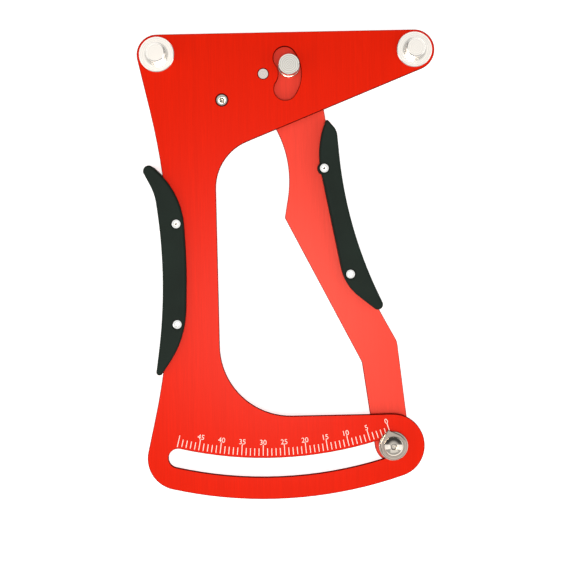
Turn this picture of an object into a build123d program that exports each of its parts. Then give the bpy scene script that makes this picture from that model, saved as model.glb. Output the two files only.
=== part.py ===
from build123d import *

import math
import os

# Spoke tension meter: a C-shaped frame plate with two fixed posts, a sprung lever behind it with
# the third post and a pointer, and a two-piece grip on each.
#
# The tool lies on the rear faces of its grips: z = 0 there, +Z out of its front face, +Y towards
# the posts. The outlines are drawn from the lever's pivot, and PIVOT carries them to the tool's
# own origin, the middle of its footprint. All lengths are in millimetres, all angles in degrees.

# ---- heights of the layers
LEVER_REAR, LEVER_FRONT = 7.5, 10.5
FRAME_REAR, FRAME_FRONT = 12.0, 15.0
GRIP_TOP = FRAME_FRONT + 4.0
POST_TOP = FRAME_FRONT + 10.0
RUNNING_GAP = 0.05  # between faces or round surfaces that slide on each other
FIT_GAP = 0.02  # between pieces that are fixed to each other
EDGE_BREAK = 0.25  # chamfer of the plates' edges

# ---- head of the frame
CORNER_R = 10.1
LEFT_POST = (-53.0, 10.55)
RIGHT_POST = (75.8, 10.65)
ANCHOR = (-20.9, -12.7)  # fixed end of the return spring
POST_SLOT_R, POST_SLOT_HALF = 13.4, 5.75  # kidney slot round the pivot
POST_SLOT_FROM, POST_SLOT_TO = -35.1, 35.6  # its ends, from +X
MOVING_POST_AT = 14.8  # where the moving post rests, from +X

# ---- scale end of the frame, measured from straight below the pivot, positive to the right
SCALE_R, SCALE_HALF = 197.0, 4.8  # centreline and half width of the pointer's slot
SCALE_START, SCALE_END = 18.2, -13.55
FOOT_CORNER_R, FOOT_END = 15.75, -13.4

# ---- fasteners
M25_R, M4_R, M5_R = 1.25, 2.0, 2.5
CLEARANCE = 0.15  # radial, of a bolt in its hole
M5_HEAD_R, M5_HEAD_T, M5_KEY = 4.75, 2.75, 3.0
M5_FLATS, THIN_NUT_T = 8.0, 2.7
M5_NUT_LOW = LEVER_REAR - THIN_NUT_T
M5_ROOT_R = 2.05  # core of the thread, where it stands out of its nut
STUD_END = M5_NUT_LOW - 1.6
DOME_SHARE, SOCKET_SHARE = 0.8, 0.6  # of a button head's height
SOCKET_MOUTH = 0.3  # conical mouth of a hexagon socket, beyond its flats
NUT_CHAMFER = 0.18  # of a nut's height

# ---- posts
FLANGE_R, FLANGE_T, FLANGE_CHAMFER = 8.8, 1.5, 0.35
BOSS_R, BOSS_T = 5.35, 0.8
STEM_R, STEM_CHAMFER = 4.75, 0.6
MOVING_POST_R, MOVING_POST_CHAMFER = 5.1, 0.3
SHOULDER_R, SHOULDER_TOP = 5.3, FRAME_FRONT + 0.5  # of the moving post, in the kidney slot
POST_THREAD_TOP = POST_TOP - 4.0
POST_WASHER_R, POST_WASHER_T = 5.3, 1.0

# ---- pivot
PIN_R, PIN_GROOVE_R, PIN_REAR = 2.65, 2.05, 0.6
PIN_CHAMFER = 0.2
BUSH_R, BUSH_REAR = 4.5, 2.6  # the bush is also the return spring's core
REAR_WASHER_T = 0.6
CLIP_TOP = BUSH_REAR - RUNNING_GAP - REAR_WASHER_T
CLIP_R, CLIP_T = 4.6, 0.7
CLIP_INNER_R = PIN_R + 0.35
CLIP_TEETH, TOOTH_LENGTH, TOOTH_WIDTH = (90, 205, 335), 1.7, 1.3
CLIP_MOUTH = 2 * PIN_GROOVE_R - 0.4  # snaps over the groove
FRONT_WASHER_R = 6.5

# ---- return spring, wound round the bush, and the posts that its two ends hook round
WIRE_R = 0.6
COIL_R = 5.6
FIXED_END_Z = 1.9
LEVER_END_Z = LEVER_REAR - WIRE_R - 0.1
NECK_R, NECK_HALF = 1.6, 0.8
LOOP_R = NECK_R + WIRE_R + 0.1
ANCHOR_POST_R, ANCHOR_POST_END = 3.2, 0.7
ANCHOR_POCKET_R, ANCHOR_SEAT = 3.1, FRAME_FRONT - 1.8
ANCHOR_HEAD_R, ANCHOR_HEAD_T, ANCHOR_CHAMFER = 2.85, 1.7, 0.2
ANCHOR_KEY, ANCHOR_SOCKET_DEPTH, ANCHOR_MOUTH = 2.5, 1.1, 0.5
ANCHOR_SCREW_END = 6.5
SPRING_POST_AT = (8.5, -14.7)
SPRING_POST_R, SPRING_POST_END = 2.6, 5.2

# ---- pointer
WASHER_LOW = FRAME_FRONT + 0.25  # clear of the frame
WASHER_TOP = WASHER_LOW + 1.0
POINTER_TOP = WASHER_TOP + 1.2
POINTER_WASHER_R, POINTER_BUSH_R, POINTER_CHAMFER = 7.25, 4.4, 0.2
POINTER_R, POINTER_TIP_R = 6.3, 0.35
POINTER_REACH = 8.4  # from the screw's axis to the tip

# ---- grips
GRIP_ROUND = 1.2
PARTING_GROOVE, PARTING_DEPTH = 0.14, 0.25  # half height and depth of the line between the shells
GRIP_BOSS_R = 3.3
GRIP_SCREW_SEAT = GRIP_TOP - 1.7
HEAD_POCKET_R = 2.75
NUT_Z, NUT_T, NUT_FLATS = 1.0, 2.0, 5.0
GRIP_HEAD_R, GRIP_HEAD_T, GRIP_KEY = 2.15, 1.3, 1.5
GRIP_DOME_SHARE = 0.22
GRIP_SCREW_END = NUT_Z - 0.3
LEFT_GRIP_SCREWS = [(-44.7, -74.3), (-45.1, -124.35)]
RIGHT_GRIP_SCREWS = [(29.6, -47.9), (41.65, -100.9)]


def polar(radius, degrees):
    """Point at this radius from the pivot, the angle counted from +X."""
    return (radius * math.cos(math.radians(degrees)), radius * math.sin(math.radians(degrees)))


def below(radius, degrees):
    """Point at this radius from the pivot, the angle counted from straight below it."""
    return polar(radius, degrees - 90)


FRAME_TOP = LEFT_POST[1] + CORNER_R
FOOT_R = SCALE_R + FOOT_CORNER_R
MOVING_POST = polar(POST_SLOT_R, MOVING_POST_AT)
POINTER = below(SCALE_R, SCALE_START)
PIVOT = (-(LEFT_POST[0] + RIGHT_POST[0]) / 2, (FOOT_R - FRAME_TOP) / 2)
PARTING_LEFT = (FRAME_REAR + FRAME_FRONT) / 2
PARTING_RIGHT = (LEVER_REAR + LEVER_FRONT) / 2


# ---- outlines


def belt(*discs):
    """Face inside a belt that runs clockwise round discs (x, y, r), straight between one and the
    next. A disc with a negative r lies outside the belt, which bends round it the other way."""
    discs = [(Vector(x, y), r) for x, y, r in discs]
    normals = []
    for (near, near_r), (far, far_r) in zip(discs, discs[1:] + discs[:1]):
        run = far - near
        lean = max(-1.0, min(1.0, (near_r - far_r) / run.length))
        ahead = run.normalized()
        normals.append(ahead * lean + Vector(-ahead.Y, ahead.X) * math.sqrt(1 - lean**2))
    leaving = [centre + normal * r for (centre, r), normal in zip(discs, normals)]
    edges = []
    for i, (centre, r) in enumerate(discs):
        arriving = centre + normals[i - 1] * r
        if (arriving - leaving[i - 1]).length > 0.001:
            edges.append(Line(leaving[i - 1], arriving))
        else:
            arriving = leaving[i - 1]
        over_half_turn = normals[i - 1].cross(normals[i]).Z * r > 0
        crest = (normals[i - 1] + normals[i]).normalized() * (-r if over_half_turn else r)
        edges.append(ThreePointArc(arriving, centre + crest, leaving[i]))
    return make_face(edges)


def frame_outline():
    return belt(
        (*LEFT_POST, CORNER_R),
        (*RIGHT_POST, CORNER_R),
        (0.4, -57.1, -25.1),  # top corner of the window
        (11.2, -136.0, -35.5),  # bottom corner of the window
        (*below(SCALE_R, SCALE_START), FOOT_CORNER_R),
        (0, 0, FOOT_R),
        (*below(SCALE_R, FOOT_END), FOOT_CORNER_R),
        (-398.5, -94.1, -350.0),  # hollow of the left side
    )


def lever_outline():
    return belt(
        (0, 0, 8.0),
        (*polar(POST_SLOT_R, 63.5), 6.4),
        (0, 0, 20.4),  # stays behind the kidney slot over the whole travel
        (24.1, -13.0, 5.2),
        (246.0, -24.0, -212.4),  # side that lies in the grip
        (57.5, -137.7, 7.5),
        (*POINTER, 8.8),
        (41.2, -147.5, -6.0),
        (11.6, -71.9, 2.0),
        (-43.1, -52.8, -55.2),
    )


def left_grip_outline():
    return belt(
        (-57.9, -47.7, 2.85),
        (-82.2, -77.8, 41.4),
        (-340.1, -98.0, 300.0),
        (-89.5, -115.6, 48.9),
        (-54.4, -148.0, 1.6),
        (-316.95, -101.0, -265.0),
        (-82.3, -67.6, -28.0),
    )


def right_grip_outline():
    return belt(
        (31.4, -24.8, 0.9),
        (28.6, -32.3, 7.9),
        (246.0, -24.0, -209.5),
        (55.0, -116.3, 2.6),
        (61.6, -93.0, 24.9),
        (72.3, -41.5, 45.0),
    )


# ---- small solids, by position (x, y) and by the heights that they reach


def slab(face, low, high):
    return Pos(0, 0, low) * extrude(face, high - low)


def rod(at, radius, low, high):
    return slab(Pos(*at) * Circle(radius), low, high)


def ring(at, outer, inner, low, high):
    return slab(Pos(*at) * (Circle(outer) - Circle(inner)), low, high)


def hexagon(at, flats, low, high, turn=0.0):
    return slab(Pos(*at) * RegularPolygon(flats / 2, 6, major_radius=False, rotation=turn), low, high)


def break_edges(solid, low, high, size=EDGE_BREAK):
    """Chamfers every edge of the solid's faces at these two heights."""
    edges = solid.edges().filter_by_position(Axis.Z, low, low)
    edges += solid.edges().filter_by_position(Axis.Z, high, high)
    return chamfer(edges, size)


def nut(at, flats, radius, low, high, turn=0.0):
    """Hexagon nut with turned-down corners."""
    blank = hexagon(at, flats, low, high, turn)
    height = high - low
    corner = flats / math.sqrt(3)
    turned = Pos(*at, low + height / 2) * Cylinder(corner, height)
    turned = chamfer(turned.edges(), length=height * NUT_CHAMFER, length2=corner - flats / 2)
    return (blank & turned) - rod(at, radius + FIT_GAP, low, high)


def socket(at, key, face, depth, up=1, flare=SOCKET_MOUTH):
    """Hexagon socket with a conical mouth, to be cut from the face at this height."""
    floor = face - up * depth
    mouth = key / 2 + flare
    cone = Cone(0, 2 * mouth, 2 * mouth)  # its half height is the radius that it has there
    cone = Pos(*at, face) * Rot(0 if up > 0 else 180, 0, 0) * cone
    hollow = hexagon(at, key, *sorted((floor, face)))
    return hollow + (cone & rod(at, mouth, *sorted((face - up * mouth, face))))


def button_screw(at, shank_r, head_r, head_t, tip, seat, key, up=1, root=None, share=DOME_SHARE):
    """Screw whose head sits at height seat, on the +Z side (up=1) or the -Z side, and is domed
    over this share of its height. With root, (radius, height), its shank has that radius from
    the tip up to that height."""
    top = seat + up * head_t
    dome = head_t * share
    ball_r = (head_r**2 + dome**2) / (2 * dome)
    ball = Pos(*at, top - up * ball_r) * Sphere(ball_r)
    head = rod(at, head_r, *sorted((seat, top))) & ball
    head -= socket(at, key, top, head_t * SOCKET_SHARE, up)
    if root is None:
        return head + rod(at, shank_r, *sorted((tip, seat)))
    root_r, root_top = root
    return head + rod(at, shank_r, root_top, seat) + rod(at, root_r, tip, root_top)


def stepped(at, steps):
    """Turned piece: (radius, low, high) for each length of its shank."""
    return Part() + [rod(at, r, low, high) for r, low, high in steps]


# ---- frame body


def frame_plate():
    plate = slab(frame_outline(), FRAME_REAR, FRAME_FRONT)
    kidney = CenterArc((0, 0), POST_SLOT_R, POST_SLOT_FROM, POST_SLOT_TO - POST_SLOT_FROM)
    scale = CenterArc((0, 0), SCALE_R, SCALE_END - 90, SCALE_START - SCALE_END)
    plate -= slab(SlotArc(kidney, 2 * POST_SLOT_HALF), FRAME_REAR, FRAME_FRONT)
    plate -= slab(SlotArc(scale, 2 * SCALE_HALF), FRAME_REAR, FRAME_FRONT)
    plate -= rod((0, 0), PIN_R + FIT_GAP, FRAME_REAR, FRAME_FRONT)
    for at in (LEFT_POST, RIGHT_POST):
        plate -= rod(at, M5_R + CLEARANCE, FRAME_REAR, FRAME_FRONT)
    for at in LEFT_GRIP_SCREWS:
        plate -= rod(at, M25_R + CLEARANCE, FRAME_REAR, FRAME_FRONT)
    plate -= rod(ANCHOR, M4_R + CLEARANCE, FRAME_REAR, FRAME_FRONT)
    plate -= rod(ANCHOR, ANCHOR_POCKET_R, ANCHOR_SEAT, FRAME_FRONT)
    return break_edges(plate, FRAME_REAR, FRAME_FRONT)


def fixed_post(at):
    flange_top = FRAME_FRONT + FLANGE_T
    boss_top = flange_top + BOSS_T
    flange = rod(at, FLANGE_R, FRAME_FRONT, flange_top)
    rim = flange.edges().filter_by_position(Axis.Z, flange_top, flange_top)
    flange = chamfer(rim, FLANGE_CHAMFER)
    boss = rod(at, BOSS_R, flange_top, boss_top)
    stem = rod(at, STEM_R, boss_top, POST_TOP)
    stem = chamfer(stem.edges().filter_by_position(Axis.Z, POST_TOP, POST_TOP), STEM_CHAMFER)
    return flange + boss + stem - rod(at, M5_R + FIT_GAP, FRAME_FRONT, POST_THREAD_TOP)


def post_screw(at):
    seat = FRAME_REAR - POST_WASHER_T
    return button_screw(at, M5_R, M5_HEAD_R, M5_HEAD_T, POST_THREAD_TOP - 1, seat, M5_KEY, up=-1)


def post_washer(at):
    low = FRAME_REAR - POST_WASHER_T
    return ring(at, POST_WASHER_R, M5_R + CLEARANCE, low, FRAME_REAR)


def anchor_screw():
    top = ANCHOR_SEAT + ANCHOR_HEAD_T
    head = rod(ANCHOR, ANCHOR_HEAD_R, ANCHOR_SEAT, top)
    head = chamfer(head.edges().filter_by_position(Axis.Z, top, top), ANCHOR_CHAMFER)
    head -= socket(ANCHOR, ANCHOR_KEY, top, ANCHOR_SOCKET_DEPTH, flare=ANCHOR_MOUTH)
    return head + rod(ANCHOR, M4_R, ANCHOR_SCREW_END, ANCHOR_SEAT)


def anchor_post():
    """Threaded from the front, with a neck for the spring's fixed end."""
    neck_low, neck_high = FIXED_END_Z - NECK_HALF, FIXED_END_Z + NECK_HALF
    post = stepped(
        ANCHOR,
        [
            (ANCHOR_POST_R, neck_high, FRAME_REAR),
            (NECK_R, neck_low, neck_high),
            (ANCHOR_POST_R, ANCHOR_POST_END, neck_low),
        ],
    )
    return post - rod(ANCHOR, M4_R + FIT_GAP, ANCHOR_SCREW_END - 1, FRAME_REAR)


def pivot_pin():
    pin = stepped(
        (0, 0),
        [
            (PIN_R, CLIP_TOP, FRAME_FRONT),
            (PIN_GROOVE_R, CLIP_TOP - CLIP_T, CLIP_TOP),
            (PIN_R, PIN_REAR, CLIP_TOP - CLIP_T),
        ],
    )
    return break_edges(pin, PIN_REAR, FRAME_FRONT, PIN_CHAMFER)


def pivot_clip():
    """E-clip: open below, with three teeth in the pin's groove."""
    low = CLIP_TOP - CLIP_T
    clip = ring((0, 0), CLIP_R, CLIP_INNER_R, low, CLIP_TOP)
    for angle in CLIP_TEETH:
        out = Rot(0, 0, angle) * Pos(PIN_GROOVE_R + TOOTH_LENGTH / 2, 0, 0)
        clip += slab(out * Rectangle(TOOTH_LENGTH, TOOTH_WIDTH), low, CLIP_TOP)
    clip -= rod((0, 0), PIN_GROOVE_R + FIT_GAP, low, CLIP_TOP)
    mouth = Pos(0, -CLIP_R) * Rectangle(CLIP_MOUTH, 2 * CLIP_R)
    return clip - slab(mouth, low, CLIP_TOP)


def pivot_washer_front():
    inner = PIN_R + RUNNING_GAP
    return ring((0, 0), FRONT_WASHER_R, inner, LEVER_FRONT + RUNNING_GAP, FRAME_REAR)


def pivot_washer_rear():
    return ring((0, 0), CLIP_R, PIN_R + RUNNING_GAP, CLIP_TOP, CLIP_TOP + REAR_WASHER_T)


# ---- lever body


def lever_plate():
    plate = slab(lever_outline(), LEVER_REAR, LEVER_FRONT)
    plate -= rod((0, 0), BUSH_R + FIT_GAP, LEVER_REAR, LEVER_FRONT)
    plate -= rod(SPRING_POST_AT, NECK_R + FIT_GAP, LEVER_REAR, LEVER_FRONT)
    for at in (MOVING_POST, POINTER):
        plate -= rod(at, M5_R + FIT_GAP, LEVER_REAR, LEVER_FRONT)
    for at in RIGHT_GRIP_SCREWS:
        plate -= rod(at, M25_R + CLEARANCE, LEVER_REAR, LEVER_FRONT)
    return break_edges(plate, LEVER_REAR, LEVER_FRONT)


def pivot_bush():
    return ring((0, 0), BUSH_R, PIN_R + RUNNING_GAP, BUSH_REAR, LEVER_FRONT)


def moving_post():
    shoulder = rod(MOVING_POST, SHOULDER_R, LEVER_FRONT, SHOULDER_TOP)
    post = rod(MOVING_POST, MOVING_POST_R, SHOULDER_TOP, POST_TOP)
    rim = post.edges().filter_by_position(Axis.Z, POST_TOP, POST_TOP)
    stud = stepped(MOVING_POST, [(M5_R, M5_NUT_LOW, LEVER_FRONT), (M5_ROOT_R, STUD_END, M5_NUT_LOW)])
    return shoulder + chamfer(rim, MOVING_POST_CHAMFER) + stud


def lever_spring_post():
    """Riveted in the lever, with a neck for the spring's moving end."""
    return stepped(
        SPRING_POST_AT,
        [
            (NECK_R, LEVER_END_Z - NECK_HALF, LEVER_FRONT),
            (SPRING_POST_R, SPRING_POST_END, LEVER_END_Z - NECK_HALF),
        ],
    )


def pointer_bush():
    return ring(POINTER, POINTER_BUSH_R, M5_R + CLEARANCE, LEVER_FRONT, WASHER_LOW)


def pointer_washer():
    washer = ring(POINTER, POINTER_WASHER_R, M5_R + CLEARANCE, WASHER_LOW, WASHER_TOP)
    rim = washer.edges().filter_by_position(Axis.Z, WASHER_TOP, WASHER_TOP)
    return chamfer(rim.sort_by(SortBy.LENGTH)[-1:], POINTER_CHAMFER)


def pointer_blade():
    """Teardrop whose tip points at the pivot."""
    tip = below(SCALE_R - POINTER_REACH + POINTER_TIP_R, SCALE_START)
    blade = slab(belt((*POINTER, POINTER_R), (*tip, POINTER_TIP_R)), WASHER_TOP, POINTER_TOP)
    rim = blade.edges().filter_by_position(Axis.Z, POINTER_TOP, POINTER_TOP)
    return chamfer(rim, POINTER_CHAMFER) - rod(POINTER, M5_R + CLEARANCE, WASHER_TOP, POINTER_TOP)


def pointer_screw():
    root = (M5_ROOT_R, M5_NUT_LOW)
    return button_screw(
        POINTER, M5_R, M5_HEAD_R, M5_HEAD_T, STUD_END, POINTER_TOP, M5_KEY, root=root
    )


# ---- grips


def grip_halves(outline, screws, plate_outline, plate_low, plate_high, parting):
    """Rear and front shell of a grip, closed round the edge of a plate."""
    body = slab(outline, 0, GRIP_TOP)
    body = fillet(break_faces(body), GRIP_ROUND)
    for at in screws:
        boss = rod(at, GRIP_BOSS_R, 0, GRIP_TOP)
        body += fillet(break_faces(boss), GRIP_ROUND)
    pocket = slab(offset(plate_outline, FIT_GAP), plate_low - FIT_GAP, plate_high + FIT_GAP)
    body -= pocket
    rim = outline - offset(outline, -PARTING_DEPTH)
    body -= slab(rim, parting - PARTING_GROOVE, parting + PARTING_GROOVE)
    for at in screws:
        body -= rod(at, M25_R + CLEARANCE, 0, GRIP_TOP)
        body -= rod(at, HEAD_POCKET_R, GRIP_SCREW_SEAT, GRIP_TOP)
        body -= hexagon(at, NUT_FLATS + 2 * FIT_GAP, 0, NUT_Z + NUT_T, turn=30)
    above = Pos(0, 0, parting + 50) * Box(1000, 1000, 100)
    return body - above, body & above


def break_faces(solid):
    """Edges round the lowest and the highest face."""
    faces = solid.faces().sort_by(Axis.Z)
    return faces[0].edges() + faces[-1].edges()


def grip_screw(at):
    return button_screw(
        at,
        M25_R,
        GRIP_HEAD_R,
        GRIP_HEAD_T,
        GRIP_SCREW_END,
        GRIP_SCREW_SEAT,
        GRIP_KEY,
        share=GRIP_DOME_SHARE,
    )


def grip_nut(at):
    return nut(at, NUT_FLATS, M25_R, NUT_Z, NUT_Z + NUT_T, turn=30)


# ---- return spring


def return_spring():
    """Stand-in of the torsion spring: its coils as a tube, with a leg and a hook at each end."""
    low, high = FIXED_END_Z - WIRE_R, LEVER_END_Z + WIRE_R
    spring = ring((0, 0), COIL_R + WIRE_R, COIL_R - WIRE_R, low, high)
    # the wire comes from the anchor, runs clockwise round the bush and leaves for the lever's post
    for post, height, side in ((ANCHOR, FIXED_END_Z, 1), (SPRING_POST_AT, LEVER_END_Z, -1)):
        reach = Vector(*post)
        lean = math.degrees(math.asin((COIL_R - LOOP_R) / reach.length))
        outward = reach.normalized().rotate(Axis.Z, side * lean)
        sideways = outward.rotate(Axis.Z, -side * 90)
        start = sideways * COIL_R + Vector(0, 0, height)
        end = reach + sideways * LOOP_R + Vector(0, 0, height)
        leg = Plane(origin=start, z_dir=end - start)
        spring += extrude(leg * Circle(WIRE_R - FIT_GAP), (end - start).length + WIRE_R / 2)
        spring += Pos(*post, height) * Torus(LOOP_R, WIRE_R)
    return spring


# ---- all the pieces


def pieces():
    left_rear, left_front = grip_halves(
        left_grip_outline(), LEFT_GRIP_SCREWS, frame_outline(), FRAME_REAR, FRAME_FRONT, PARTING_LEFT
    )
    right_rear, right_front = grip_halves(
        right_grip_outline(), RIGHT_GRIP_SCREWS, lever_outline(), LEVER_REAR, LEVER_FRONT, PARTING_RIGHT
    )
    return {
        "frame_plate": [frame_plate()],
        "left_post": [fixed_post(LEFT_POST)],
        "right_post": [fixed_post(RIGHT_POST)],
        "post_screws": [post_screw(at) for at in (LEFT_POST, RIGHT_POST)],
        "post_washers": [post_washer(at) for at in (LEFT_POST, RIGHT_POST)],
        "anchor_screw": [anchor_screw()],
        "anchor_post": [anchor_post()],
        "pivot_pin": [pivot_pin()],
        "pivot_clip": [pivot_clip()],
        "pivot_washer_front": [pivot_washer_front()],
        "pivot_washer_rear": [pivot_washer_rear()],
        "left_grip_rear": [left_rear],
        "left_grip_front": [left_front],
        "left_grip_screws": [grip_screw(at) for at in LEFT_GRIP_SCREWS],
        "left_grip_nuts": [grip_nut(at) for at in LEFT_GRIP_SCREWS],
        "return_spring": [return_spring()],
        "lever_plate": [lever_plate()],
        "pivot_bush": [pivot_bush()],
        "moving_post": [moving_post()],
        "moving_post_nut": [nut(MOVING_POST, M5_FLATS, M5_R, M5_NUT_LOW, LEVER_REAR)],
        "lever_spring_post": [lever_spring_post()],
        "pointer_bush": [pointer_bush()],
        "pointer_washer": [pointer_washer()],
        "pointer": [pointer_blade()],
        "pointer_screw": [pointer_screw()],
        "pointer_nut": [nut(POINTER, M5_FLATS, M5_R, M5_NUT_LOW, LEVER_REAR, turn=18)],
        "right_grip_rear": [right_rear],
        "right_grip_front": [right_front],
        "right_grip_screws": [grip_screw(at) for at in RIGHT_GRIP_SCREWS],
        "right_grip_nuts": [grip_nut(at) for at in RIGHT_GRIP_SCREWS],
    }


def main():
    os.makedirs("parts", exist_ok=True)
    for name, shapes in pieces().items():
        solids = [solid for shape in shapes for solid in (Pos(*PIVOT) * shape).solids()]
        export_step(solids[0] if len(solids) == 1 else Compound(solids), f"parts/{name}.step")


main()
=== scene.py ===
import math

import bmesh
import bpy
from mathutils import Matrix, Vector


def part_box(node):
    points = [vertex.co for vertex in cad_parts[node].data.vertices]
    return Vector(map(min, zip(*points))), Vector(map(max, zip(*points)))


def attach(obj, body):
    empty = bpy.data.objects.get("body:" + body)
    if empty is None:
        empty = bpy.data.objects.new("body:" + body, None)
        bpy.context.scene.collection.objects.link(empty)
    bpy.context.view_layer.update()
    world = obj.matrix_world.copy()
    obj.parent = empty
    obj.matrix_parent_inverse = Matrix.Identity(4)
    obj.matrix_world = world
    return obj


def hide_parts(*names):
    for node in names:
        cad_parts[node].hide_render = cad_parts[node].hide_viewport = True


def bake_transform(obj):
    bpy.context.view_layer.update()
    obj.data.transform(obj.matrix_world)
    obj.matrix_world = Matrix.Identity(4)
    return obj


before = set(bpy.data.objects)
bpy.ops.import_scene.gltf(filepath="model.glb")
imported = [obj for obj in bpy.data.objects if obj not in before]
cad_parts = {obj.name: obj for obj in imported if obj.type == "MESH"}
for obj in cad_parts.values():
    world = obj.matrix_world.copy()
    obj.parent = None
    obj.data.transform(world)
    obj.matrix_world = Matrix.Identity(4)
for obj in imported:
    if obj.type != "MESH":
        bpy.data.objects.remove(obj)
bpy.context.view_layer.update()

# Looks of the spoke tension meter. Everything is in metres in the frame's own axes; sizes below
# are written in millimetres and multiplied by MM.
MM = 0.001


def centre(node):
    low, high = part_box(node)
    return (low + high) / 2


PIVOT = centre("pivot_pin")
PLATE_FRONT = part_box("frame_plate")[1].z

# ---- scale on the frame plate: angles from straight below the pivot, positive to the right
ZERO_AT = 18.4
DIVISION = 0.649
DIVISIONS = 50
LABEL_EVERY = 5
TICK_OUTER = 191.0 * MM
TICK_INNER = 187.3 * MM
LONG_TICK_INNER = 185.6 * MM
LAST_TICK_EXTRA = 0.5 * MM
TICK_WIDTH = 0.4 * MM
NUMERAL_R = 184.3 * MM
NUMERAL_HEIGHT = 2.5 * MM
PRINT_T = 0.03 * MM
PRINT_SUNK = 0.01 * MM

# ---- return spring
WIRE_R = 0.6 * MM
COIL_R = 5.6 * MM
HOOK_R = 2.3 * MM
HOOK_TURN = 275
FIXED_END_Z = 1.9 * MM
LEVER_END_Z = 6.8 * MM
WHOLE_TURNS = 3

# ---- M5 threads; ridge and crest are shares of the pitch
THREAD_R = 2.45 * MM
THREAD_CORE_R = 2.05 * MM
THREAD_PITCH = 0.8 * MM
THREAD_RIDGE, THREAD_CREST = 0.75, 0.125
THREAD_SIDES = 32
THREAD_SUNK = 0.1 * MM
THREAD_RUN_IN = 4  # a ridge is full height after one turn over this
THREAD_START = 0.05  # share of its height at the very ends

# ---- camera and floor
CAMERA_HEIGHT = 715.0 * MM  # above the frame plate
FIELD = 288.0 * MM  # width of the picture on the frame plate
VIEW_MIDDLE = Vector((-1.0, -11.3)) * MM
FOOT_OFFSET = Vector((-6.0, 27.0)) * MM  # from the middle of the picture to right under the camera
ROLL = 1.1
SENSOR = 36.0
FLOOR_HALF = 3.0
FLOOR_GAP = 0.02 * MM

# ---- light: colours, and the strength of the sky on the near side, far side and overhead
WHITE = (1, 1, 1)
WARM = (1, 0.88, 0.74)
NEAR_GLOW, FAR_GLOW, OVERHEAD_GLOW = 0.6, 0.08, 0.95


# ---- node graphs


def node(tree, kind, inputs=None, **settings):
    """New shader node; an input is either a value or another node's output."""
    made = tree.nodes.new("ShaderNode" + kind)
    for key, value in settings.items():
        setattr(made, key, value)
    for key, value in (inputs or {}).items():
        if isinstance(value, bpy.types.NodeSocket):
            tree.links.new(value, made.inputs[key])
        else:
            made.inputs[key].default_value = value
    return made


def math_node(tree, operation, a, b=0.0):
    return node(tree, "Math", {0: a, 1: b}, operation=operation).outputs[0]


def remap(tree, value, low, high, to_low, to_high):
    inputs = {"Value": value, "From Min": low, "From Max": high}
    inputs.update({"To Min": to_low, "To Max": to_high})
    return node(tree, "MapRange", inputs).outputs["Result"]


def mix(tree, share, a, b):
    made = node(tree, "Mix", data_type="RGBA")
    for key, value in (("Factor_Float", share), ("A_Color", a), ("B_Color", b)):
        socket = next(s for s in made.inputs if s.identifier == key)
        if isinstance(value, bpy.types.NodeSocket):
            tree.links.new(value, socket)
        else:
            socket.default_value = value
    return next(s for s in made.outputs if s.identifier == "Result_Color")


def noise(tree, stretch, detail=2.0, roughness=0.5, vector=None):
    """Noise with this many cells per metre along X, Y and Z."""
    vector = vector or node(tree, "TexCoord").outputs["Object"]
    mapped = node(tree, "Mapping", {"Vector": vector, "Scale": stretch})
    inputs = {"Vector": mapped.outputs[0], "Scale": 1.0, "Detail": detail, "Roughness": roughness}
    return node(tree, "TexNoise", inputs).outputs["Fac"]


def bump(tree, height, depth, strength=1.0, below=None):
    inputs = {"Height": height, "Distance": depth, "Strength": strength}
    if below:
        inputs["Normal"] = below
    return node(tree, "Bump", inputs).outputs["Normal"]


def material(name, **sockets):
    """New material and its Principled shader, with constants set on the shader itself."""
    made = bpy.data.materials.new(name)
    made.use_nodes = True
    shader = made.node_tree.nodes["Principled BSDF"]
    for key, value in sockets.items():
        shader.inputs[key.replace("_", " ")].default_value = value
    return made, made.node_tree, shader


def wire(tree, shader, **outputs):
    for key, output in outputs.items():
        tree.links.new(output, shader.inputs[key.replace("_", " ")])


def linear(level):
    """Linear value of an sRGB one in 0 to 255."""
    return ((level / 255 + 0.055) / 1.055) ** 2.4 if level > 10 else level / 255 / 12.92


def rgb(r, g, b):
    """Linear colour of an sRGB one given in 0 to 255."""
    return (linear(r), linear(g), linear(b), 1)


def scaled(colour, factor):
    return (*[c * factor for c in colour[:3]], 1)


# ---- materials

STEEL = rgb(236, 233, 227)
TURNED_STEEL = rgb(216, 214, 208)
DARK_STEEL = rgb(196, 192, 186)
BRONZE = rgb(196, 146, 84)
OPEN_SPAN = (0.35, 0.85)  # share of open sky at which a recess is darkest, and at which it isn't
SOCKET_SPAN = (0.5, 0.98)
# painted shade: the share of a metal's colour left in its darkest recesses
RECESS_SHADE = 0.08  # of a metal's colour where a recess is darkest


def cavity(tree, colour, shade_colour, reach=1.2 * MM, own=True, span=OPEN_SPAN):
    """Darkens a colour in recesses as painted shade, such as in the socket of a screw; own: only in
    the piece's own.
    """
    inputs = {"Color": colour, "Distance": reach}
    hidden = node(tree, "AmbientOcclusion", inputs, samples=8, only_local=own).outputs["AO"]
    return mix(tree, remap(tree, hidden, *span, 0, 1), shade_colour, colour)


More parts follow.
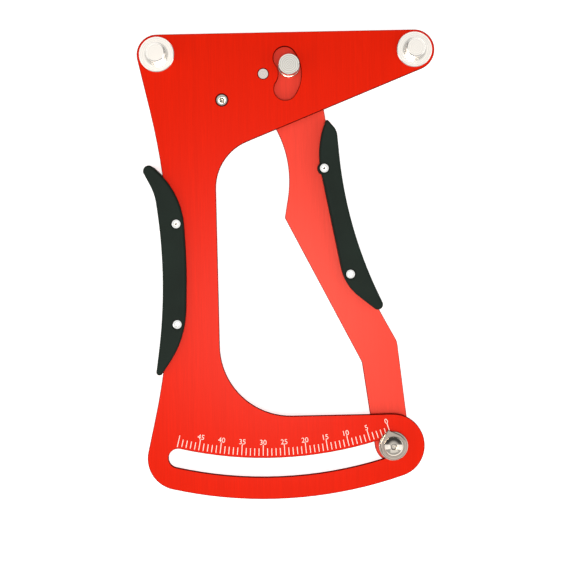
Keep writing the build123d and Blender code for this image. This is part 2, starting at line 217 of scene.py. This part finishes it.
def anodised(name, face, edge_shade, gloss):
    """Brushed, dyed aluminium sheet: fine lines along Y on its faces; its edge walls painted dark
    as shade, and painted shade in its recesses.
    """
    made, tree, shader = material(name, Metallic=0.12, Coat_Roughness=0.25, Specular_IOR_Level=0.0)
    lines = noise(tree, (6500, 90, 6500), 3.0, 0.6)
    streaks = noise(tree, (900, 9, 900), 2.0, 0.6)
    patches = noise(tree, (22, 14, 22), 2.0)
    brushed = mix(tree, remap(tree, lines, 0.3, 0.7, 0, 1), scaled(face, 0.88), scaled(face, 1.06))
    brushed = mix(tree, remap(tree, streaks, 0.35, 0.65, 0, 0.25), brushed, scaled(face, 0.78))
    clouded = mix(tree, remap(tree, patches, 0.35, 0.65, 0, 0.12), brushed, scaled(face, 0.86))
    # Faces that are not upright, the edge walls, get the dark second colour as painted shade;
    # recesses get painted shade too.
    normal = node(tree, "NewGeometry").outputs["Normal"]
    upright = node(tree, "SeparateXYZ", {0: normal}).outputs["Z"]
    flat = remap(tree, math_node(tree, "ABSOLUTE", upright), 0.78, 0.94, 0, 1)
    colour = mix(tree, flat, edge_shade, cavity(tree, clouded, edge_shade))
    roughness = remap(tree, lines, 0.3, 0.7, 0.38, 0.5)
    coat = math_node(tree, "MULTIPLY", flat, gloss)
    wire(tree, shader, Base_Color=colour, Roughness=roughness, Coat_Weight=coat)
    wire(tree, shader, Normal=bump(tree, lines, 0.004 * MM, 0.35))
    return made


def bare_metal(name, colour, roughness, scratch=0.5, own=True, span=OPEN_SPAN):
    """Metal with fine random scratches, a little unevenness of finish, and painted shade in its
    recesses.
    """
    made, tree, shader = material(name, Metallic=1.0)
    fine = noise(tree, (2600, 2600, 2600), 4.0, 0.65)
    broad = noise(tree, (260, 260, 260), 2.0)
    toned = mix(tree, remap(tree, broad, 0.3, 0.7, 0, 1), scaled(colour, 0.93), colour)
    rough = remap(tree, fine, 0.3, 0.7, roughness * 0.8, roughness * 1.25)
    relief = bump(tree, fine, 0.002 * MM, scratch)
    # painted shade in the recesses
    with_painted_shade = cavity(tree, toned, scaled(colour, RECESS_SHADE), own=own, span=span)
    wire(tree, shader, Base_Color=with_painted_shade, Roughness=rough, Normal=relief)
    return made


def turned_metal(
    name,
    colour,
    roughness,
    axis,
    pitch=0.3 * MM,
    depth=0.004 * MM,
    tone=0.9,
    own=True,
    span=OPEN_SPAN,
):
    """Metal turned on a lathe: rings round the vertical axis through this point, and between
    them its colour times tone; painted shade in its recesses."""
    made, tree, shader = material(name, Metallic=1.0)
    place = node(tree, "TexCoord").outputs["Object"]
    inputs = {0: place, 1: (axis.x, axis.y, 0)}
    offset = node(tree, "VectorMath", inputs, operation="SUBTRACT").outputs[0]
    planar = node(tree, "VectorMath", {0: offset, 1: (1, 1, 0)}, operation="MULTIPLY").outputs[0]
    radius = node(tree, "VectorMath", {0: planar}, operation="LENGTH").outputs["Value"]
    wobble = remap(tree, noise(tree, (300, 300, 300), 2.0), 0, 1, -0.4, 0.4)
    turns = math_node(tree, "ADD", math_node(tree, "DIVIDE", radius, pitch), wobble)
    rings = math_node(tree, "SINE", math_node(tree, "MULTIPLY", turns, math.tau))
    fine = noise(tree, (1800, 1800, 1800), 3.0, 0.6)
    toned = mix(tree, remap(tree, rings, -1, 1, 0, 1), scaled(colour, tone), colour)
    rough = remap(tree, fine, 0.3, 0.7, roughness * 0.8, roughness * 1.25)
    relief = bump(tree, rings, depth, 0.5, bump(tree, fine, 0.002 * MM, 0.2))
    # painted shade in the recesses
    with_painted_shade = cavity(tree, toned, scaled(colour, RECESS_SHADE), own=own, span=span)
    wire(tree, shader, Base_Color=with_painted_shade, Roughness=rough, Normal=relief)
    return made


def moulded(name, colour, roughness, grain_depth, grain=1900, ior=1.45):
    """Moulded plastic or rubber with a fine spark-eroded grain."""
    made, tree, shader = material(name, IOR=ior)
    fine = noise(tree, (grain, grain, grain), 3.0, 0.6)
    broad = noise(tree, (60, 60, 60), 2.0)
    dark, light = scaled(colour, 0.85), scaled(colour, 1.15)
    toned = mix(tree, remap(tree, broad, 0.3, 0.7, 0, 1), dark, light)
    rough = remap(tree, fine, 0.3, 0.7, roughness - 0.06, roughness + 0.06)
    wire(tree, shader, Base_Color=toned, Roughness=rough, Normal=bump(tree, fine, grain_depth, 0.6))
    return made


def painted(name, colour):
    """Screen-printed ink, a little thin in places."""
    made, tree, shader = material(name, Roughness=0.6)
    thin = noise(tree, (2400, 2400, 2400), 3.0, 0.6)
    toned = mix(tree, remap(tree, thin, 0.35, 0.7, 0, 0.5), colour, scaled(colour, 0.8))
    wire(tree, shader, Base_Color=toned, Normal=bump(tree, thin, 0.004 * MM, 0.4))
    return made


def floor_material():
    made, tree, shader = material("floor_paper", Roughness=0.9, Emission_Strength=0.7)
    shader.inputs["Emission Color"].default_value = (*WHITE, 1)
    shade = noise(tree, (9, 9, 9), 2.0)
    wire(tree, shader, Base_Color=mix(tree, shade, (0.62, 0.62, 0.62, 1), (0.66, 0.66, 0.66, 1)))
    return made


def dress(material_made, *nodes):
    """Gives these CAD nodes this material."""
    for name in nodes:
        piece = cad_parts[name]
        if not piece.material_slots:
            piece.data.materials.append(material_made)
        for place in piece.material_slots:
            place.material = material_made


def dress_nodes():
    # the second colour of each red is the painted shade of its edge walls
    dress(anodised("frame_red", rgb(206, 26, 0), rgb(90, 4, 2), 0.075), "frame_plate")
    dress(anodised("lever_red", rgb(222, 62, 48), rgb(110, 10, 8), 0.11), "lever_plate")
    grip = moulded("grip_black", rgb(19, 31, 26), 0.6, 0.02 * MM, ior=1.22)
    dress(grip, "left_grip_front", "left_grip_rear", "right_grip_front", "right_grip_rear")
    for post in ("left_post", "right_post"):
        dress(turned_metal(post + "_steel", STEEL, 0.2, centre(post), 0.9 * MM, 0.003 * MM), post)
    axis = centre("moving_post")
    moving_post = turned_metal("moving_post_steel", TURNED_STEEL, 0.16, axis, 0.9 * MM, tone=0.72)
    dress(moving_post, "moving_post")
    pin = turned_metal("pin_steel", rgb(230, 220, 214), 0.1, PIVOT, 0.7 * MM, tone=0.8)
    dress(pin, "pivot_pin")
    # own False: the painted shade on the washer, blade and screw also darkens where neighbouring
    # parts shade them
    rings = {"axis": centre("pointer_screw"), "pitch": 0.4 * MM, "own": False}
    dress(turned_metal("washer_steel", rgb(196, 182, 170), 0.07, **rings), "pointer_washer")
    dress(bare_metal("pointer_blade_steel", rgb(182, 170, 158), 0.07, own=False), "pointer")
    dress(turned_metal("pointer_screw_steel", rgb(208, 200, 188), 0.08, **rings), "pointer_screw")
    dress(turned_metal("bush_bronze", BRONZE, 0.35, PIVOT), "pivot_bush")
    zinc = bare_metal("fastener_zinc", DARK_STEEL, 0.28)
    dress(zinc, "post_screws", "post_washers", "pivot_washer_rear", "moving_post_nut")
    dress(zinc, "pointer_nut", "left_grip_nuts", "right_grip_nuts")
    dress(zinc, "anchor_post", "lever_spring_post")
    # SOCKET_SPAN: stronger painted shade in the hex sockets of these screws
    grip_screw = bare_metal("grip_screw_steel", rgb(246, 246, 243), 0.09, span=SOCKET_SPAN)
    dress(grip_screw, "left_grip_screws", "right_grip_screws")
    rings = {"axis": centre("anchor_screw"), "pitch": 0.9 * MM, "tone": 0.7, "span": SOCKET_SPAN}
    anchor = turned_metal("anchor_steel", rgb(198, 194, 188), 0.07, **rings)
    dress(anchor, "anchor_screw")
    dress(bare_metal("clip_steel", rgb(92, 90, 88), 0.35), "pivot_clip")
    nylon = moulded("acetal_white", rgb(226, 226, 220), 0.4, 0.004 * MM)
    dress(nylon, "pivot_washer_front", "pointer_bush")


# ---- meshes


def new_piece(name, mesh, material_made):
    mesh.materials.append(material_made)
    piece = bpy.data.objects.new(name, mesh)
    bpy.context.scene.collection.objects.link(piece)
    return piece


def scale_point(radius, degrees):
    """Point of the plate's front at this radius and angle of the scale."""
    angle = math.radians(degrees)
    x = PIVOT.x + radius * math.sin(angle)
    y = PIVOT.y - radius * math.cos(angle)
    return Vector((x, y, PLATE_FRONT))


def mark_at(number):
    return ZERO_AT - DIVISION * number


def add_bar(built, start, end, width, sunk, height):
    """Flat bar from start to end, with square ends."""
    side = (end - start).normalized().cross(Vector((0, 0, 1))) * width / 2
    corners = (start - side, end - side, end + side, start + side)
    low = [built.verts.new(c - Vector((0, 0, sunk))) for c in corners]
    high = [built.verts.new(c + Vector((0, 0, height))) for c in corners]
    built.faces.new(low)
    built.faces.new(high[::-1])
    for i in range(4):
        j = (i + 1) % 4
        built.faces.new((low[i], high[i], high[j], low[j]))


def scale_marks():
    built = bmesh.new()
    for number in range(DIVISIONS + 1):
        inner, outer = TICK_INNER, TICK_OUTER
        if number % LABEL_EVERY == 0:
            inner = LONG_TICK_INNER
        if number == DIVISIONS:
            outer += LAST_TICK_EXTRA
        angle = mark_at(number)
        start, end = scale_point(inner, angle), scale_point(outer, angle)
        add_bar(built, start, end, TICK_WIDTH, PRINT_SUNK, PRINT_T)
    bmesh.ops.recalc_face_normals(built, faces=built.faces)
    mesh = bpy.data.meshes.new("scale_marks")
    built.to_mesh(mesh)
    return mesh


def text_mesh(text):
    """Flat text one unit high, centred on the origin, PRINT_T thick once it is scaled."""
    letters = bpy.data.curves.new("numeral", "FONT")
    letters.body = text
    letters.align_x = "CENTER"
    letters.extrude = 0.5
    letters.resolution_u = 4
    holder = bpy.data.objects.new("numeral", letters)
    mesh = bpy.data.meshes.new_from_object(holder)
    bpy.data.objects.remove(holder)
    bpy.data.curves.remove(letters)
    low = min(v.co.y for v in mesh.vertices)
    high = max(v.co.y for v in mesh.vertices)
    left = min(v.co.x for v in mesh.vertices)
    right = max(v.co.x for v in mesh.vertices)
    middle = Vector(((left + right) / 2, (low + high) / 2, 0))
    mesh.transform(Matrix.Scale(1 / (high - low), 4) @ Matrix.Translation(-middle))
    thickness = max(v.co.z for v in mesh.vertices) * 2
    mesh.transform(Matrix.Diagonal((1, 1, 1 / thickness, 1)))
    return mesh


def scale_numerals():
    built = bmesh.new()
    size = Matrix.Diagonal((NUMERAL_HEIGHT, NUMERAL_HEIGHT, PRINT_T + PRINT_SUNK, 1))
    lift = Matrix.Translation((0, 0, (PRINT_T - PRINT_SUNK) / 2))
    for number in range(0, DIVISIONS, LABEL_EVERY):
        angle = mark_at(number)
        place = Matrix.Translation(scale_point(NUMERAL_R, angle))
        mesh = text_mesh(str(number))
        mesh.transform(place @ Matrix.Rotation(math.radians(angle), 4, "Z") @ lift @ size)
        built.from_mesh(mesh)
        bpy.data.meshes.remove(mesh)
    mesh = bpy.data.meshes.new("scale_numerals")
    built.to_mesh(mesh)
    return mesh


def tube(name, path, radius, sides=14):
    """Round wire along these points, closed at both ends."""
    built = bmesh.new()
    rings = []
    up = Vector((0, 0, 1))
    for i, point in enumerate(path):
        ahead = (path[min(i + 1, len(path) - 1)] - path[max(i - 1, 0)]).normalized()
        side = ahead.cross(up).normalized()
        over = side.cross(ahead)
        turns = [math.tau * k / sides for k in range(sides)]
        spokes = [side * math.cos(t) + over * math.sin(t) for t in turns]
        rings.append([built.verts.new(point + spoke * radius) for spoke in spokes])
    for near, far in zip(rings, rings[1:]):
        for k in range(sides):
            m = (k + 1) % sides
            built.faces.new((near[k], near[m], far[m], far[k]))
    built.faces.new(rings[0][::-1])
    built.faces.new(rings[-1])
    bmesh.ops.recalc_face_normals(built, faces=built.faces)
    mesh = bpy.data.meshes.new(name)
    built.to_mesh(mesh)
    mesh.shade_smooth()
    return mesh


def arc(middle, radius, start, turn, low, high, step=7.5):
    """Points of a rising arc, clockwise from the angle start, in degrees."""
    count = math.ceil(turn / step)
    points = []
    for i in range(count + 1):
        angle = math.radians(start - turn * i / count)
        height = low + (high - low) * i / count
        x = middle.x + radius * math.cos(angle)
        y = middle.y + radius * math.sin(angle)
        points.append(Vector((x, y, height)))
    return points


def leave_angle(post, side):
    """Angle on the coil where a wire tangent to it and to the hook round this post leaves it."""
    reach = post - PIVOT.xy
    lean = math.asin((COIL_R - HOOK_R) / reach.length)
    return math.degrees(math.atan2(reach.y, reach.x) + side * lean) - side * 90


def spring_mesh():
    """Hook on the anchor post, coils clockwise round the bush and up, hook on the lever."""
    fixed, moving = centre("anchor_post").xy, centre("lever_spring_post").xy
    arrive, leave = leave_angle(fixed, 1), leave_angle(moving, -1)
    coil_turn = (arrive - leave) % 360 + 360 * WHOLE_TURNS
    path = arc(fixed, HOOK_R, arrive + HOOK_TURN, HOOK_TURN, FIXED_END_Z, FIXED_END_Z)
    path += arc(PIVOT, COIL_R, arrive, coil_turn, FIXED_END_Z, LEVER_END_Z)
    path += arc(moving, HOOK_R, leave, HOOK_TURN, LEVER_END_Z, LEVER_END_Z)
    return tube("return_spring_wire", path, WIRE_R)


def thread_mesh(name, axis, low, high):
    """Helical ridge of an M5 thread, round a stud's core between these heights."""
    built = bmesh.new()
    sections = []
    turns = (high - low) / THREAD_PITCH - THREAD_RIDGE
    count = math.ceil(turns * THREAD_SIDES)
    root, crest = THREAD_RIDGE / 2 * THREAD_PITCH, THREAD_CREST / 2 * THREAD_PITCH
    inner_r = THREAD_CORE_R - THREAD_SUNK
    for i in range(count + 1):
        turn = i / THREAD_SIDES
        grown = min(1.0, THREAD_RUN_IN * turn, THREAD_RUN_IN * (count / THREAD_SIDES - turn))
        crest_r = THREAD_CORE_R + max(THREAD_START, grown) * (THREAD_R - THREAD_CORE_R)
        middle = low + (turn + THREAD_RIDGE / 2) * THREAD_PITCH
        out = Vector((math.cos(math.tau * turn), math.sin(math.tau * turn), 0))
        profile = ((inner_r, -root), (crest_r, -crest), (crest_r, crest), (inner_r, root))
        base = Vector((axis.x, axis.y, middle))
        sections.append([built.verts.new(base + out * r + Vector((0, 0, z))) for r, z in profile])
    for near, far in zip(sections, sections[1:]):
        for k in range(4):
            m = (k + 1) % 4
            built.faces.new((near[k], near[m], far[m], far[k]))
    built.faces.new(sections[0][::-1])
    built.faces.new(sections[-1])
    bmesh.ops.recalc_face_normals(built, faces=built.faces)
    mesh = bpy.data.meshes.new(name)
    built.to_mesh(mesh)
    return mesh


# ---- the pieces that are added to the frame


def add_scale():
    ink = painted("scale_ink", rgb(250, 222, 212))
    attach(new_piece("scale_marks", scale_marks(), ink), "frame")
    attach(new_piece("scale_numerals", scale_numerals(), ink), "frame")


def add_spring():
    steel = bare_metal("spring_wire", rgb(150, 146, 140), 0.25)
    piece = new_piece("return_spring_wire", spring_mesh(), steel)
    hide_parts("return_spring")
    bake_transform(piece)


def add_threads():
    """Threads of the two studs, where they stand out behind their nuts."""
    zinc = bpy.data.materials["fastener_zinc"]
    for node_name, nut in (("moving_post", "moving_post_nut"), ("pointer_screw", "pointer_nut")):
        low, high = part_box(node_name)[0].z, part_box(nut)[0].z
        mesh = thread_mesh(node_name + "_thread", centre(nut), low, high)
        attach(new_piece(node_name + "_thread", mesh, zinc), "lever")


# ---- studio


def add_floor():
    corners = [(-1, -1), (1, -1), (1, 1), (-1, 1)]
    mesh = bpy.data.meshes.new("floor")
    points = [(x * FLOOR_HALF, y * FLOOR_HALF, -FLOOR_GAP) for x, y in corners]
    mesh.from_pydata(points, [], [(0, 1, 2, 3)])
    mesh.materials.append(floor_material())
    floor = bpy.data.objects.new("floor", mesh)
    bpy.context.scene.collection.objects.link(floor)


def softbox(name, at, width, height, power, aim=(0, 0, 0), colour=WHITE):
    lamp = bpy.data.lights.new(name, "AREA")
    lamp.color = colour
    lamp.shape = "RECTANGLE"
    lamp.size = width
    lamp.size_y = height
    lamp.energy = power
    holder = bpy.data.objects.new(name, lamp)
    holder.location = at
    holder.rotation_euler = (Vector(aim) - Vector(at)).to_track_quat("-Z", "Y").to_euler()
    bpy.context.scene.collection.objects.link(holder)


def add_world():
    """Soft white overhead, and a dark side beyond the posts."""
    world = bpy.data.worlds.new("studio")
    world.use_nodes = True
    tree = world.node_tree
    toward = node(tree, "SeparateXYZ", {0: node(tree, "TexCoord").outputs["Generated"]})
    side = remap(tree, toward.outputs["Y"], -0.5, 0.5, NEAR_GLOW, FAR_GLOW)
    overhead = remap(tree, toward.outputs["Z"], 0.55, 0.9, 0, 1)
    short = math_node(tree, "SUBTRACT", OVERHEAD_GLOW, side)
    strength = math_node(tree, "ADD", side, math_node(tree, "MULTIPLY", short, overhead))
    tree.nodes["Background"].inputs["Color"].default_value = (*WHITE, 1)
    tree.links.new(strength, tree.nodes["Background"].inputs["Strength"])
    bpy.context.scene.world = world


def add_lights():
    softbox("left_box", (-0.95, -0.25, 0.6), 0.8, 1.2, 3.4)
    softbox("right_box", (0.95, -0.3, 0.6), 0.8, 1.2, 3.8)
    softbox("near_box", (0.15, -0.95, 0.75), 1.4, 0.7, 1.6)
    softbox("top_box", (-0.02, -0.09, 1.1), 0.22, 0.22, 5.0, (0, -0.04, 0), WARM)


def add_camera():
    lens = bpy.data.cameras.new("camera")
    lens.sensor_width = SENSOR
    lens.lens = SENSOR * CAMERA_HEIGHT / FIELD
    roll = math.radians(ROLL)
    foot = VIEW_MIDDLE + FOOT_OFFSET
    across = Matrix.Rotation(roll, 2) @ FOOT_OFFSET
    lens.shift_x = -across.x / FIELD
    lens.shift_y = -across.y / FIELD
    camera = bpy.data.objects.new("camera", lens)
    camera.location = (foot.x, foot.y, PLATE_FRONT + CAMERA_HEIGHT)
    camera.rotation_euler = (0, 0, -roll)
    bpy.context.scene.collection.objects.link(camera)
    bpy.context.scene.camera = camera


add_camera()
dress_nodes()
add_scale()
add_spring()
add_threads()
add_floor()
add_world()
add_lights()
bpy.context.scene.view_settings.view_transform = "Standard"
